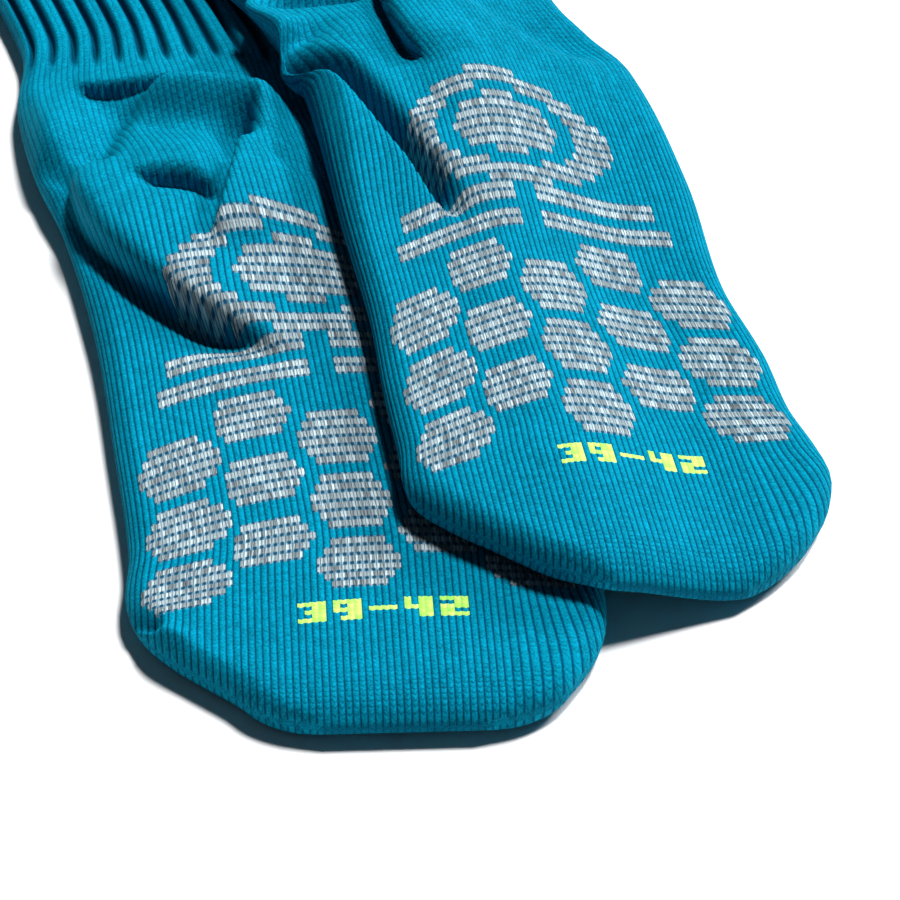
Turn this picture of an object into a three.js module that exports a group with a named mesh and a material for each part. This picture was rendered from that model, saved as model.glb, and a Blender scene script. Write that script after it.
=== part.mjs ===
// A pair of knitted football socks, laid flat on a table with the soles up and the toes forward.
// The right sock lies half on the left one. Sizes are millimetres, +Z is up, and the origin is on
// the table under the middle of the pair. Each sock is one tube of thick knit: a rounded shut toe,
// a plush foot, a heel pocket that stands up in folds, and a ribbed leg that ends in an open welt.
import * as THREE from "three";

// The middle of the pair in the plan that the section tables are measured in.
const PLAN_MIDDLE_X = -88.3;
const PLAN_MIDDLE_Y = 218.7;

// Knit: the wall of the foot and of the leg, and the least hollow left between two walls.
const FOOT_WALL = 2.8;
const LEG_WALL = 2.2;
const LEAST_HOLLOW = 1.4;
const LEG_START = 205;
const WALL_CHANGE = 20;

// Lengths along a sock, measured from the tip of the toe.
const SOCK_LENGTH = 590;
const TOE_ROUNDING = 7;
const TOE_EDGE = 1.6;
const HOLLOW_START = 4;
const WELT_LENGTH = 42;
const WELT_RISE = 0.7;
const WELT_STEP = 3;

// Leg ribs: one groove every rib pitch, on the side that faces up.
const RIB_COUNT = 18;
const RIB_DEPTH = 1.2;
const RIB_START = 194;
const RIB_FADE = 12;
const RIB_END_FADE = 4;

// How the upper sock leaves the lower one: the gap between them, the run down to the table, and
// how far its open end reaches out past the lower one before it sinks.
const LAYER_GAP = 0.5;
const SLOPE_RUN = 34;
const OVERHANG = 10;

// Where the lower sock's folds begin to be pressed flat by the upper one, and over what width.
const PRESSED_FROM = 2;
const PRESSED_WIDTH = 16;

// Points in a ring, and how many outer points share one inner point.
const TOP_POINTS = RIB_COUNT * 3;
const BOTTOM_POINTS = 18;
const OUTER_PER_INNER = 3;
const FOLD_STEPS = 16;
const SEARCH_STEP = 10;
const SEARCH_TURNS = 4;

// How far round a place the inner face looks for the lowest cloth above it.
const INNER_REACH_ACROSS = 3.5;
const INNER_REACH_ALONG = 5;

const FOOT_RINGS = [0, 1, 2.5, 4.5, 7, 10, 14, 20, 28, 40, 56, 76, 96];
const HEEL_RING_STEP = 4.5;
const HEEL_RINGS_END = 208;
const LEG_RINGS = [222, 245, 280, 330, 390, 450, 510, 545, 551, 590];

// Sections of the lower sock: the middle of the tube in plan, the turn of the section from square
// to the front edge of the table in degrees, half the flat width, and the thickness of the sock.
const LOWER_SECTIONS = [
  { along: 0, x: -8, y: -77, turn: 2, half: 14, thick: 10 },
  { along: 2, x: -8, y: -75, turn: 2, half: 22.3, thick: 10 },
  { along: 5, x: -7.9, y: -72, turn: 2.5, half: 28.2, thick: 10 },
  { along: 9, x: -8.2, y: -68, turn: 3, half: 32, thick: 10.5 },
  { along: 14, x: -9.4, y: -63, turn: 4, half: 36.8, thick: 10.5 },
  { along: 20, x: -11.8, y: -57, turn: 5, half: 41.4, thick: 10.5 },
  { along: 27, x: -14.6, y: -50, turn: 6, half: 44.4, thick: 10.5 },
  { along: 36, x: -16.8, y: -41, turn: 7.5, half: 45.3, thick: 10.5 },
  { along: 50, x: -18.6, y: -28, turn: 9, half: 44, thick: 10.5 },
  { along: 80, x: -24, y: 1.5, turn: 10.5, half: 44, thick: 10.5 },
  { along: 115, x: -30.5, y: 36, turn: 11.5, half: 44.5, thick: 10.5 },
  { along: 150, x: -39, y: 70, turn: 14, half: 45.9, thick: 11.5 },
  { along: 175, x: -47.5, y: 93.5, turn: 17, half: 46.8, thick: 12 },
  { along: 200, x: -54, y: 117.5, turn: 19, half: 46.8, thick: 10.5 },
  { along: 225, x: -62, y: 141, turn: 22, half: 41, thick: 8.5 },
  { along: 280, x: -85, y: 191, turn: 25, half: 41, thick: 8 },
  { along: 360, x: -120, y: 263, turn: 25, half: 45, thick: 8 },
  { along: 440, x: -153, y: 336, turn: 23.5, half: 50, thick: 8 },
  { along: 520, x: -184, y: 410, turn: 21.5, half: 49, thick: 8 },
  { along: 590, x: -209, y: 475, turn: 21, half: 45, thick: 8 },
];

// Sections of the upper sock, in the same columns.
const UPPER_SECTIONS = [
  { along: 0, x: 43.8, y: -47.6, turn: 15, half: 13, thick: 10 },
  { along: 2, x: 44, y: -45.5, turn: 15, half: 17.5, thick: 10 },
  { along: 4, x: 44, y: -43.4, turn: 15, half: 21.2, thick: 10 },
  { along: 8, x: 43, y: -39.6, turn: 15, half: 26.9, thick: 10.5 },
  { along: 12, x: 42, y: -35.7, turn: 15, half: 30.9, thick: 10.5 },
  { along: 16, x: 40.8, y: -31.7, turn: 15, half: 34.6, thick: 10.5 },
  { along: 24, x: 37, y: -24.7, turn: 15, half: 40, thick: 10.5 },
  { along: 31, x: 33, y: -18.4, turn: 15, half: 42.3, thick: 10.5 },
  { along: 44, x: 29.3, y: -5.9, turn: 15, half: 41, thick: 10.5 },
  { along: 60, x: 26, y: 9.8, turn: 15, half: 40.6, thick: 10.5 },
  { along: 83, x: 20.6, y: 32.1, turn: 15.5, half: 38.6, thick: 10.5 },
  { along: 115, x: 14.5, y: 64, turn: 17, half: 39.8, thick: 10.5 },
  { along: 150, x: 6.1, y: 98, turn: 20, half: 38.8, thick: 11.5 },
  { along: 165, x: -0.5, y: 111.8, turn: 22, half: 36.2, thick: 12 },
  { along: 175, x: -5.2, y: 120.8, turn: 23, half: 35, thick: 12 },
  { along: 200, x: -15.5, y: 143.5, turn: 24, half: 36, thick: 11 },
  { along: 225, x: -26.5, y: 166, turn: 25, half: 38, thick: 8.5 },
  { along: 280, x: -50.5, y: 215.5, turn: 25.5, half: 40, thick: 8 },
  { along: 360, x: -85, y: 287.7, turn: 25, half: 45, thick: 8 },
  { along: 440, x: -118.5, y: 360.4, turn: 24, half: 50, thick: 8 },
  { along: 520, x: -150, y: 434, turn: 22, half: 49, thick: 8 },
  { along: 590, x: -175, y: 499.4, turn: 21.5, half: 45, thick: 8 },
];

// Broad swellings of the upper cloth: where each is on the sock, how far it spreads, how high.
const LOWER_SWELLS = [
  { across: -14, along: 150, wide: 26, long: 32, rise: 8 },
  { across: -39, along: 177, wide: 10, long: 15, rise: 5 },
  { across: 0, along: 188, wide: 28, long: 14, rise: 2.5 },
];
const UPPER_SWELLS = [
  { across: 3, along: 150, wide: 28, long: 36, rise: 7.5 },
  { across: -35, along: 185, wide: 8, long: 14, rise: 7 },
  { across: -36, along: 128, wide: 7, long: 34, rise: 4 },
  { across: -24, along: 168, wide: 9, long: 8, rise: 3 },
  { across: 14, along: 192, wide: 22, long: 20, rise: 4 },
];

// Folds: a line over the sock through three places (a across, s along), how far the fold spreads
// to the left and to the right of its run, and how high it rises. A crease rises below nothing.
const LOWER_FOLDS = [
  { a0: -42.5, s0: 166, a1: -39.5, s1: 129, a2: -18, s2: 96, left: 4, right: 3.5, rise: -4.8 },
  { a0: -38, s0: 158, a1: -33, s1: 126, a2: -9, s2: 97, left: 15, right: 4, rise: 6 },
  { a0: -3, s0: 166, a1: -8.5, s1: 152, a2: -18, s2: 131, left: 3, right: 3.5, rise: -4.5 },
  { a0: 1, s0: 161, a1: -4.5, s1: 146, a2: -13, s2: 124, left: 11, right: 3.5, rise: 4.5 },
  { a0: -38, s0: 159, a1: -22, s1: 156, a2: -9, s2: 150, left: 9, right: 4, rise: 4.5 },
  { a0: -30, s0: 153, a1: -21, s1: 147.5, a2: -11, s2: 146, left: 3.5, right: 4, rise: -4 },
  { a0: -25, s0: 179, a1: -8, s1: 172, a2: 4, s2: 167, left: 5, right: 8, rise: -4.5 },
  { a0: -23, s0: 184, a1: -4, s1: 178.5, a2: 15, s2: 168, left: 4, right: 8, rise: 6 },
  { a0: 9, s0: 178, a1: 5, s1: 165, a2: 2, s2: 150, left: 6, right: 4, rise: 3 },
  { a0: -42, s0: 159, a1: -33, s1: 166, a2: -20, s2: 181, left: 4, right: 4, rise: -4 },
  { a0: -36, s0: 194, a1: -25, s1: 189.5, a2: -13, s2: 191, left: 3.5, right: 3.5, rise: -4.5 },
  { a0: -37, s0: 200, a1: -24, s1: 196, a2: -9, s2: 190, left: 8, right: 3.5, rise: 3.5 },
];
const UPPER_FOLDS = [
  { a0: -33, s0: 170, a1: -26, s1: 137, a2: -11, s2: 93, left: 4, right: 4.5, rise: -6.5 },
  { a0: -27, s0: 160, a1: -20, s1: 130, a2: -8, s2: 97, left: 14, right: 4, rise: 5 },
  { a0: -5, s0: 188, a1: -14.5, s1: 165, a2: -12, s2: 149, left: 3.5, right: 3.5, rise: -7 },
  { a0: 1, s0: 186, a1: -8, s1: 164, a2: -7, s2: 146, left: 12, right: 3.5, rise: 5 },
  { a0: -39, s0: 167, a1: -28, s1: 173, a2: -14, s2: 179, left: 3.5, right: 3.5, rise: -4.5 },
  { a0: 1, s0: 172, a1: 11, s1: 163, a2: 27, s2: 161, left: 5, right: 6, rise: -2.5 },
  { a0: 4, s0: 166, a1: 17, s1: 157, a2: 31, s2: 151, left: 6, right: 6, rise: 2.5 },
];

// A cubic curve through a table's rows, read at one length along the sock.
function column(rows, name, along) {
  const slope = (i) => {
    const a = rows[Math.max(i - 1, 0)];
    const b = rows[Math.min(i + 1, rows.length - 1)];
    return (b[name] - a[name]) / (b.along - a.along);
  };
  let i = rows.findIndex((row) => row.along > along) - 1;
  if (i < 0) i = along > rows[0].along ? rows.length - 2 : 0;
  const near = rows[i];
  const far = rows[i + 1];
  const gap = far.along - near.along;
  const t = (along - near.along) / gap;
  return (
    (2 * t ** 3 - 3 * t ** 2 + 1) * near[name] +
    (t ** 3 - 2 * t ** 2 + t) * gap * slope(i) +
    (3 * t ** 2 - 2 * t ** 3) * far[name] +
    (t ** 3 - t ** 2) * gap * slope(i + 1)
  );
}

// 0 below nothing, 1 above one, and an even S between.
function ease(t) {
  const c = Math.min(Math.max(t, 0), 1);
  return c * c * (3 - 2 * c);
}

// The middle of the tube in plan and the direction square to the section there.
function heading(rows, along) {
  const turn = THREE.MathUtils.degToRad(column(rows, "turn", along));
  return {
    x: column(rows, "x", along),
    y: column(rows, "y", along),
    dx: -Math.sin(turn),
    dy: Math.cos(turn),
  };
}

// Where a point of the plan is on a sock: how far along it and how far to the right of its middle.
function onSock(rows, x, y) {
  let along = 0;
  let least = Infinity;
  for (let s = 0; s <= SOCK_LENGTH; s += SEARCH_STEP) {
    const d = Math.hypot(column(rows, "x", s) - x, column(rows, "y", s) - y);
    if (d < least) [least, along] = [d, s];
  }
  for (let turn = 0; turn < SEARCH_TURNS; turn += 1) {
    const h = heading(rows, along);
    along += (x - h.x) * h.dx + (y - h.y) * h.dy;
  }
  const h = heading(rows, along);
  return { along, across: (x - h.x) * h.dy - (y - h.y) * h.dx };
}

// The thickness of the laid sock: it rounds off at the tip of the toe and steps up at the welt.
function thickness(rows, along) {
  const toe = Math.sqrt(Math.max(1 - (1 - Math.min(along / TOE_ROUNDING, 1)) ** 2, 0));
  const welt = WELT_RISE * ease((along - (SOCK_LENGTH - WELT_LENGTH)) / WELT_STEP + 0.5);
  return Math.max((column(rows, "thick", along) + welt) * toe, TOE_EDGE);
}

// Half the thickness that the sock would have with no toe rounding: the nose lies at this height.
function middleHeight(rows, along) {
  return column(rows, "thick", Math.max(along, TOE_ROUNDING)) / 2;
}

// How far one fold lifts the cloth at a place on the sock: a bell across the fold's line, with
// its own spread on each side, that fades in and out over the quarters at its ends.
function foldLift(fold, across, along) {
  const { a0, s0, a1, s1, a2, s2 } = fold;
  const bendA = 2 * a1 - (a0 + a2) / 2;
  const bendS = 2 * s1 - (s0 + s2) / 2;
  const at = (t) => [
    (1 - t) ** 2 * a0 + 2 * t * (1 - t) * bendA + t * t * a2,
    (1 - t) ** 2 * s0 + 2 * t * (1 - t) * bendS + t * t * s2,
  ];
  let best = { distance: Infinity, t: 0, side: 1 };
  for (let k = 0; k < FOLD_STEPS; k += 1) {
    const [pa, ps] = at(k / FOLD_STEPS);
    const [qa, qs] = at((k + 1) / FOLD_STEPS);
    const [da, ds] = [qa - pa, qs - ps];
    const u = ((across - pa) * da + (along - ps) * ds) / (da * da + ds * ds);
    const c = Math.min(Math.max(u, 0), 1);
    const distance = Math.hypot(across - pa - c * da, along - ps - c * ds);
    const side = da * (along - ps) - ds * (across - pa);
    if (distance < best.distance) best = { distance, t: (k + c) / FOLD_STEPS, side };
  }
  const spread = best.side > 0 ? fold.left : fold.right;
  const ends = ease(best.t * 4) * ease((1 - best.t) * 4);
  return fold.rise * ends * Math.exp(-((best.distance / spread) ** 2));
}

// How far all swellings and folds of a sock lift its upper cloth at a place.
function lift(sock, across, along) {
  const swells = sock.swells.reduce((sum, w) => {
    const wide = (across - w.across) / w.wide;
    const long = (along - w.along) / w.long;
    return sum + w.rise * Math.exp(-(wide ** 2) - long ** 2);
  }, 0);
  const folds = sock.folds.reduce((sum, fold) => sum + foldLift(fold, across, along), 0);
  return (swells + folds) * sock.openTo(across);
}

// The lift of the wall's inner face: the least lift near the place, so that the wall keeps its
// thickness under every crease and is a little fuller inside a ridge.
function innerLift(sock, across, along) {
  const sides = [-1, 0, 1];
  const near = sides.flatMap((i) =>
    sides.map((j) => lift(sock, across + i * INNER_REACH_ACROSS, along + j * INNER_REACH_ALONG)),
  );
  return Math.min(...near);
}

// Height of the ribs over the leg's plain cloth, from nothing in a groove to the rib depth.
function ribLift(share, along) {
  const wave = Math.sin(Math.PI * share * RIB_COUNT) ** 2;
  const crest = 1 - (1 - wave) ** 3;
  const leg = ease((along - RIB_START) / RIB_FADE);
  const welt = ease((SOCK_LENGTH - WELT_LENGTH - along) / RIB_END_FADE + 0.5);
  return RIB_DEPTH * crest * leg * welt;
}

// A flattened tube's section: half its flat width and its thickness give a round edge at each
// side and straight runs between. share goes from 0 at the left edge over the top to 1 at the
// right edge, and the same way underneath.
function stadium(half, thick, share) {
  const radius = Math.min(thick / 2, half);
  const arc = (Math.PI * radius) / 2;
  const run = 2 * (half - radius);
  const walked = share * (run + 2 * arc);
  if (walked < arc) {
    const turn = walked / radius;
    return { across: -half + radius * (1 - Math.cos(turn)), rise: radius * Math.sin(turn) };
  }
  if (walked > arc + run) {
    const turn = (run + 2 * arc - walked) / radius;
    return { across: half - radius * (1 - Math.cos(turn)), rise: radius * Math.sin(turn) };
  }
  return { across: -half + radius + walked - arc, rise: radius };
}

// The height of the lower sock's upper cloth under a point of the plan, eased down to the table
// past its right edge and past its two ends.
function lowerTop(x, y) {
  const { along, across } = onSock(LOWER_SECTIONS, x, y);
  const s = Math.min(Math.max(along, 0), SOCK_LENGTH);
  const ribs = RIB_DEPTH * ease((s - RIB_START) / RIB_FADE);
  const thick = thickness(LOWER_SECTIONS, Math.max(s, TOE_ROUNDING)) + ribs;
  const half = column(LOWER_SECTIONS, "half", s);
  const past = across - (half - thick / 2);
  const top = thick + lift(LOWER, Math.min(across, half), s);
  const beyond = Math.max(-along, along - SOCK_LENGTH);
  const sunk = ease((beyond - OVERHANG) / SLOPE_RUN);
  return (top + LAYER_GAP) * (1 - ease(past / SLOPE_RUN)) * (1 - sunk);
}

// The lower sock's folds die out where the upper sock lies on them.
const LOWER = {
  rows: LOWER_SECTIONS,
  swells: LOWER_SWELLS,
  folds: LOWER_FOLDS,
  openTo: (across) => 1 - ease((across - PRESSED_FROM) / PRESSED_WIDTH),
  floor: () => 0,
};
const UPPER = {
  rows: UPPER_SECTIONS,
  swells: UPPER_SWELLS,
  folds: UPPER_FOLDS,
  openTo: () => 1,
  floor: lowerTop,
};

// One ring of points: over the top from the left edge to the right edge, then back underneath.
function ring(sock, along, topPoints, bottomPoints, inside) {
  const legShare = ease((along - LEG_START) / WALL_CHANGE);
  const wall = inside ? FOOT_WALL + (LEG_WALL - FOOT_WALL) * legShare : 0;
  const half = column(sock.rows, "half", along);
  const spread = (column(sock.rows, "half", along + 1) - column(sock.rows, "half", along - 1)) / 2;
  const innerHalf = half - wall * Math.hypot(1, spread);
  const thick = thickness(sock.rows, along);
  const innerThick = Math.max(thick - 2 * wall, LEAST_HOLLOW);
  const lifted = Math.max(middleHeight(sock.rows, along), thick / 2);
  const h = heading(sock.rows, along);
  const points = [];
  const count = topPoints + bottomPoints;
  for (let i = 0; i < count; i += 1) {
    const over = i <= topPoints;
    const share = over ? i / topPoints : (count - i) / bottomPoints;
    const { across, rise } = stadium(innerHalf, innerThick, share);
    const x = h.x + across * h.dy;
    const y = h.y - across * h.dx;
    const middle = sock.floor(x, y) + lifted;
    const fullness = ((2 * rise) / innerThick) ** (inside ? 2 : 1);
    const folds = inside
      ? Math.max(innerLift(sock, across, along), LEAST_HOLLOW - innerThick)
      : lift(sock, across, along);
    const ribs = inside ? 0 : ribLift(share, along);
    const z = over ? middle + rise + (folds + ribs) * fullness : middle - rise;
    points.push([x - PLAN_MIDDLE_X, y - PLAN_MIDDLE_Y, z]);
  }
  return points;
}

// The lengths along the sock that carry a ring outside, and every second of them inside.
function outerStations() {
  const heel = [];
  for (let s = FOOT_RINGS.at(-1) + HEEL_RING_STEP; s <= HEEL_RINGS_END; s += HEEL_RING_STEP) {
    heel.push(s);
  }
  return [...FOOT_RINGS, ...heel, ...LEG_RINGS];
}
function innerStations() {
  const hollow = (s) => s > HOLLOW_START + 1 && s < SOCK_LENGTH;
  const inner = outerStations().filter((s, i) => hollow(s) && i % 2 === 0);
  return [HOLLOW_START, ...inner, SOCK_LENGTH];
}

// Two triangles for four corners in turn, parted along the diagonal that climbs less, so that
// the facets follow a fold instead of crossing it.
function patch(index, height, a, b, c, d) {
  if (Math.abs(height(a) - height(c)) <= Math.abs(height(b) - height(d))) {
    index.push(a, b, c, a, c, d);
  } else {
    index.push(a, b, d, b, c, d);
  }
}

// The whole wall of a sock as one closed mesh: the outer tube, shut at the toe, joined at the
// open end by a rim to the inner tube, which is shut just inside the toe.
function sockGeometry(sock) {
  const outerCount = TOP_POINTS + BOTTOM_POINTS;
  const innerTop = TOP_POINTS / OUTER_PER_INNER;
  const innerBottom = BOTTOM_POINTS / OUTER_PER_INNER;
  const innerCount = innerTop + innerBottom;
  const outer = outerStations().map((s) => ring(sock, s, TOP_POINTS, BOTTOM_POINTS, false));
  const inner = innerStations().map((s) => ring(sock, s, innerTop, innerBottom, true));
  const positions = [...outer, ...inner].flat(2);
  const start = outer.length * outerCount;
  const out = (r, i) => r * outerCount + (i % outerCount);
  const into = (r, i) => start + r * innerCount + (i % innerCount);
  const index = [];
  const height = (v) => positions[3 * v + 2];
  for (let r = 0; r + 1 < outer.length; r += 1) {
    for (let i = 0; i < outerCount; i += 1) {
      patch(index, height, out(r, i), out(r, i + 1), out(r + 1, i + 1), out(r + 1, i));
    }
  }
  for (let r = 0; r + 1 < inner.length; r += 1) {
    for (let i = 0; i < innerCount; i += 1) {
      patch(index, height, into(r, i), into(r + 1, i), into(r + 1, i + 1), into(r, i + 1));
    }
  }
  const lastOut = outer.length - 1;
  const lastIn = inner.length - 1;
  for (let i = 0; i < innerCount; i += 1) {
    const from = i * OUTER_PER_INNER;
    index.push(out(lastOut, from), out(lastOut, from + 1), into(lastIn, i));
    index.push(out(lastOut, from + 1), out(lastOut, from + 2), into(lastIn, i));
    index.push(out(lastOut, from + 2), into(lastIn, i + 1), into(lastIn, i));
    index.push(out(lastOut, from + 2), out(lastOut, from + 3), into(lastIn, i + 1));
  }
  capToe(index, (i) => out(0, i), TOP_POINTS, BOTTOM_POINTS, true);
  capToe(index, (i) => into(0, i), innerTop, innerBottom, false);
  const geometry = new THREE.BufferGeometry();
  geometry.setAttribute("position", new THREE.Float32BufferAttribute(positions, 3));
  geometry.setIndex(index);
  geometry.computeVertexNormals();
  return geometry;
}

// The strip that shuts a ring between its upper points and its fewer lower ones: each lower point
// fans out to its own run of upper points, and a triangle joins each fan to the next.
function capToe(index, at, top, bottom, flip) {
  const push = (a, b, c) => (flip ? index.push(at(a), at(c), at(b)) : index.push(at(a), at(b), at(c)));
  const under = (k) => (k === 0 || k === bottom ? (k * top) / bottom : top + bottom - k);
  const over = (k) => Math.round((k * top) / bottom);
  for (let k = 0; k < bottom; k += 1) {
    for (let a = Math.max(over(k), 1 - Math.min(k, 1)); a < over(k + 1); a += 1) {
      push(a, a + 1, under(k));
    }
    if (k + 1 < bottom) push(over(k + 1), under(k + 1), under(k));
  }
}

// One sock as a named mesh in the teal of its yarn.
function sockMesh(name, sock, colour) {
  const material = new THREE.MeshStandardMaterial({ color: colour, roughness: 0.9, metalness: 0 });
  const mesh = new THREE.Mesh(sockGeometry(sock), material);
  mesh.name = name;
  return mesh;
}

const pair = new THREE.Group();
pair.add(sockMesh("sock_lower", LOWER, 0x0d87a6));
pair.add(sockMesh("sock_upper", UPPER, 0x1294b5));

export default pair;
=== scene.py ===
import math

import bpy
import numpy as np
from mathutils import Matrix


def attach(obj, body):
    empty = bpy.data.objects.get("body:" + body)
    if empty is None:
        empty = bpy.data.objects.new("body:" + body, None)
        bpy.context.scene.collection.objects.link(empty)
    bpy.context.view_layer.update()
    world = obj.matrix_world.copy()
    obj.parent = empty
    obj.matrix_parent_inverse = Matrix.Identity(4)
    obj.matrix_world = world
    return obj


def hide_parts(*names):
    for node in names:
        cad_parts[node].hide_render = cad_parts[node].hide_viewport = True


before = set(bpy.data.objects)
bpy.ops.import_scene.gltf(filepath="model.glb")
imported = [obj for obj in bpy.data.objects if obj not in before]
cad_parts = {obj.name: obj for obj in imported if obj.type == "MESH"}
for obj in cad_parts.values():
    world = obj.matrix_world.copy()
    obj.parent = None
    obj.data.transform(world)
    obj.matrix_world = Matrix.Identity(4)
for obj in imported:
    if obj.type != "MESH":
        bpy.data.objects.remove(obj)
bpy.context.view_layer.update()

# The camera looks down on the toes at 45 degrees, square to the front of the table, through a
# long lens close to the socks, so that both legs run out of the top of the picture.
LOOK_AT = (0.0883, -0.2187, 0.0)
CAMERA_DISTANCE = 0.581
CAMERA_ELEVATION = math.radians(45)
CAMERA_LENS = 114.3

camera = bpy.data.objects.new("camera", bpy.data.cameras.new("camera"))
camera.data.lens = CAMERA_LENS
camera.data.clip_start = 0.01
camera.location = (
    LOOK_AT[0],
    LOOK_AT[1] - CAMERA_DISTANCE * math.cos(CAMERA_ELEVATION),
    LOOK_AT[2] + CAMERA_DISTANCE * math.sin(CAMERA_ELEVATION),
)
camera.rotation_euler = (math.pi / 2 - CAMERA_ELEVATION, 0, 0)
bpy.context.scene.collection.objects.link(camera)
bpy.context.scene.camera = camera

# The lower sock: a tube of plush knit, laid flat on its back with the sole up. A circular
# machine knits it in one piece, 144 wales round, from the welt down the ribbed leg, round the
# heel pocket and along the foot to the linked toe. Lengths in its tables are millimetres.
MILLIMETRE = 0.001
PLAN_MIDDLE = (-88.3, 218.7)
SOCK_LENGTH = 590
WALES_ACROSS = 72
TOE_COURSES = 36
FOOT_COURSES = 132
FOOT_PITCH = 1.28
COURSES = np.concatenate(
    [np.arange(TOE_COURSES), TOE_COURSES + FOOT_PITCH * np.arange(FOOT_COURSES)]
)

# A section gives the tube's middle in plan, its turn in degrees, half its flat width and its
# thickness. A swelling has a place, two spreads and a rise. A fold is a bent line through three
# places, with a spread on each side of its way, a rise, or a crease below nothing, and a lean.
SECTION_COLUMNS = [(name, float) for name in ("along", "x", "y", "turn", "half", "thick")]
SWELL_COLUMNS = [(name, float) for name in ("across", "along", "wide", "long", "rise")]
FOLD_COLUMNS = [
    (name, float)
    for name in ("a0", "s0", "a1", "s1", "a2", "s2", "left", "right", "rise", "lean")
]
LOWER_SECTIONS = np.array([
    (0, -8, -77, 2, 14, 10),
    (2, -8, -75, 2, 22.3, 10),
    (5, -7.9, -72, 2.5, 28.2, 10),
    (9, -8.2, -68, 3, 32, 10.5),
    (14, -9.4, -63, 4, 36.8, 10.5),
    (20, -11.8, -57, 5, 41.4, 10.5),
    (27, -14.6, -50, 6, 44.4, 10.5),
    (36, -16.8, -41, 7.5, 45.3, 10.5),
    (50, -18.6, -28, 9, 44, 10.5),
    (80, -24, 1.5, 10.5, 44, 10.5),
    (115, -30.5, 36, 11.5, 44.5, 10.5),
    (150, -39, 70, 14, 45.9, 11.5),
    (175, -47.5, 93.5, 17, 46.8, 12),
    (200, -54, 117.5, 19, 46.8, 10.5),
    (225, -62, 141, 22, 41, 8.5),
    (280, -85, 191, 25, 41, 8),
    (360, -120, 263, 25, 45, 8),
    (440, -153, 336, 23.5, 50, 8),
    (520, -184, 410, 21.5, 49, 8),
    (590, -209, 475, 21, 45, 8),
], SECTION_COLUMNS)
LOWER_SWELLS = np.array([
    (-14, 150, 26, 32, 8),
    (-39, 177, 10, 15, 5),
    (0, 188, 28, 14, 2.5),
], SWELL_COLUMNS)
LOWER_FOLDS = np.array([
    (-41.5, 170, -35, 128, -4, 96, 2.2, 6, -6, 0),
    (-39, 168, -32.8, 129.8, -2.5, 98, 13, 2, 6.2, 3),
    (-47, 173, -43, 165.5, -37.5, 157, 3, 3, -4, 0),
    (-38, 160, -29.5, 176, -20, 192, 8, 4.6, -6.4, 0),
    (-28, 153, -19, 149.5, -10, 148, 1.8, 4, -4.4, 0),
    (-30, 155, -19.5, 151.5, -9, 150, 8, 2, 2.6, 2.5),
    (3.5, 176, -7.5, 153, -18, 128, 1.8, 5, -6, 0),
    (-1.5, 163, -8, 146, -16, 124, 12, 1.8, 5, 1),
    (-3, 160, 4.4, 152, 12, 150, 6, 3, -3, 0),
    (-25, 179, -8, 172, 4, 167, 5, 8, -4.5, 0),
    (-23, 184, -4, 178.5, 15, 168, 4, 8, 6, 0),
    (9, 178, 5, 165, 2, 150, 6, 4, 3, 0),
    (-35, 196.5, -23, 192, -9, 189.5, 1.5, 2.8, -2.8, 0),
    (-35, 199, -22, 194, -8, 191.5, 9, 1.8, 2.4, 2.2),
    (-47.5, 30.5, -44, 27.5, -39.5, 24, 1.4, 1.6, -4, 0),
    (-46, 27, -41, 23, -35, 19.5, 2, 2.5, 1.6, 0.6),
], FOLD_COLUMNS)
WALL = {"foot": 2.8, "leg": 2.2, "change_at": 205, "change_over": 20}
LEAST_HOLLOW = 1.4
TOE_ROUNDING = 7
WELT = {"start": 548, "rise": 0.7, "step": 3}
RIBS = {"count": 18, "depth": 1.2, "groove": 1.7, "start": 193, "fade": 9, "slant": 40}
RIBS_END = {"end": 548, "fade": 4}
FOLD_STEPS = 16
FOLD_REACH = 3
FOLD_QUARTERS = 4
PRESSED = {"from": 2, "over": 16}


def ease(t):
    """0 below nothing, 1 above one, and an even S between."""
    t = np.clip(t, 0, 1)
    return t * t * (3 - 2 * t)


def column(rows, name, along):
    """A cubic curve through a table's rows, whose slope at a row is that between its neighbours."""
    s, v = rows["along"], rows[name]
    last = len(s) - 1
    before = np.maximum(np.arange(len(s)) - 1, 0)
    after = np.minimum(np.arange(len(s)) + 1, last)
    slope = (v[after] - v[before]) / (s[after] - s[before])
    i = np.clip(np.searchsorted(s, along, side="right") - 1, 0, last - 1)
    gap = s[i + 1] - s[i]
    t = (along - s[i]) / gap
    near = (2 * t**3 - 3 * t**2 + 1) * v[i] + (t**3 - 2 * t**2 + t) * gap * slope[i]
    far = (3 * t**2 - 2 * t**3) * v[i + 1] + (t**3 - t**2) * gap * slope[i + 1]
    return near + far


def in_plan(rows, across, along):
    """The plan place of a point: the middle of the tube there, plus across to its right."""
    turn = np.radians(column(rows, "turn", along))
    x = column(rows, "x", along) + across * np.cos(turn)
    y = column(rows, "y", along) + across * np.sin(turn)
    return x, y


def thickness(rows, along):
    """The laid sock's thickness: a quarter circle at the nose, and a step up at the welt."""
    toe = np.sqrt(1 - (1 - np.clip(along / TOE_ROUNDING, 0, 1)) ** 2)
    welt = WELT["rise"] * ease((along - WELT["start"]) / WELT["step"] + 0.5)
    return (column(rows, "thick", along) + welt) * toe


def stadium(half, thick, share):
    """How far across a flattened tube lies at a share of the way over it: quarter circles of
    half the thickness at both edges, and an even run between them."""
    radius = np.minimum(thick / 2, half)
    arc = np.pi * radius / 2
    over = 2 * (half - radius) + 2 * arc
    near = np.minimum(share, 1 - share) * over
    bend = radius * (1 - np.cos(np.minimum(near, arc) / np.maximum(radius, 1e-6)))
    inward = np.where(near < arc, bend, radius + near - arc)
    return np.where(share < 0.5, inward - half, half - inward)


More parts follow.
